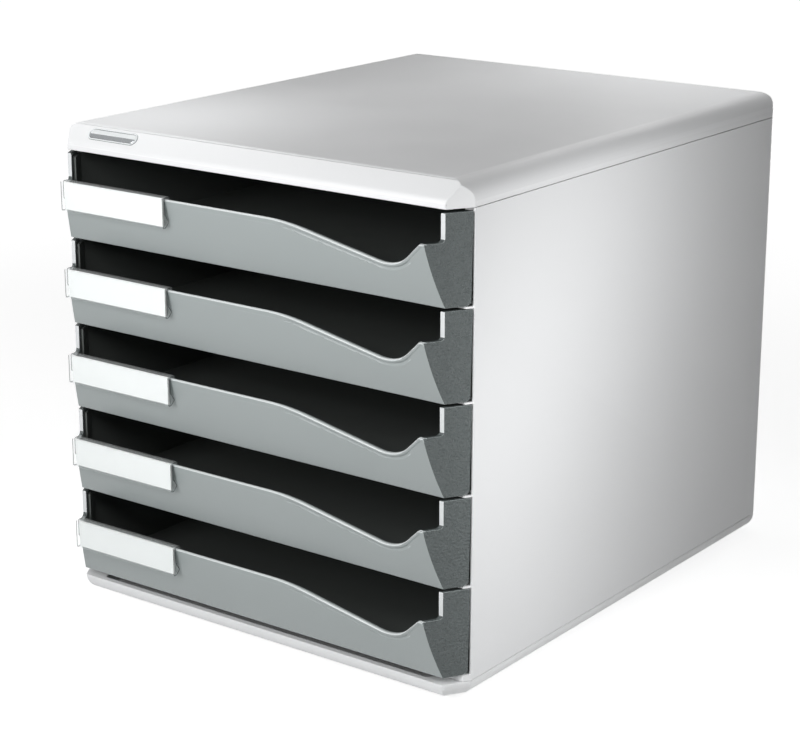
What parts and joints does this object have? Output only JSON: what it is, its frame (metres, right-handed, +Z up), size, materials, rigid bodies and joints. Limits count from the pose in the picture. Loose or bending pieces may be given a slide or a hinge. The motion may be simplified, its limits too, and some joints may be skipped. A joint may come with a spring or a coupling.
{
  "type": "desktop file drawer unit",
  "caption": "Desktop drawer unit: a white moulded housing with low open-fronted drawers that slide on ledges, each with a wave-cut grey front and a clear label holder.",
  "frame": {"origin": "on the desk, under the middle of the unit's bounding box with the drawers shut", "axes": "+Z up, the drawers open towards -Y, +X is to the right of someone who faces the drawers"},
  "size_m": [0.285, 0.3542, 0.29],
  "materials": {
    "housing_white": "satin",
    "tray_charcoal": "fine-grained satin",
    "face_silver": "satin",
    "clear_plastic": "clear and glossy",
    "card_paper": "matt",
    "foot_rubber": "matt"
  },
  "bodies": {
    "housing": {"top_cover": "housing_white", "base_tray": "housing_white", "right_side_panel": "housing_white", "left_side_panel": "housing_white", "back_panel": "housing_white", "foot_front_left": "foot_rubber", "foot_front_right": "foot_rubber", "foot_rear_left": "foot_rubber", "foot_rear_right": "foot_rubber"},
    "drawer_1": {"drawer_1_tray": "tray_charcoal", "drawer_1_front": "face_silver", "drawer_1_label_holder": "clear_plastic", "drawer_1_label_card": "card_paper"},
    "drawer_2": {"drawer_2_tray": "tray_charcoal", "drawer_2_front": "face_silver", "drawer_2_label_holder": "clear_plastic", "drawer_2_label_card": "card_paper"},
    "drawer_3": {"drawer_3_tray": "tray_charcoal", "drawer_3_front": "face_silver", "drawer_3_label_holder": "clear_plastic", "drawer_3_label_card": "card_paper"},
    "drawer_4": {"drawer_4_tray": "tray_charcoal", "drawer_4_front": "face_silver", "drawer_4_label_holder": "clear_plastic", "drawer_4_label_card": "card_paper"},
    "drawer_5": {"drawer_5_tray": "tray_charcoal", "drawer_5_front": "face_silver", "drawer_5_label_holder": "clear_plastic", "drawer_5_label_card": "card_paper"}
  },
  "joints": [
    {"name": "drawer_1_slide", "type": "slide", "parent": "housing", "child": "drawer_1", "axis": [0, -1, 0], "range_m": [0, 0.258]},
    {"name": "drawer_2_slide", "type": "slide", "parent": "housing", "child": "drawer_2", "axis": [0, -1, 0], "range_m": [0, 0.258]},
    {"name": "drawer_3_slide", "type": "slide", "parent": "housing", "child": "drawer_3", "axis": [0, -1, 0], "range_m": [0, 0.258]},
    {"name": "drawer_4_slide", "type": "slide", "parent": "housing", "child": "drawer_4", "axis": [0, -1, 0], "range_m": [0, 0.258]},
    {"name": "drawer_5_slide", "type": "slide", "parent": "housing", "child": "drawer_5", "axis": [0, -1, 0], "range_m": [0, 0.258]}
  ]
}
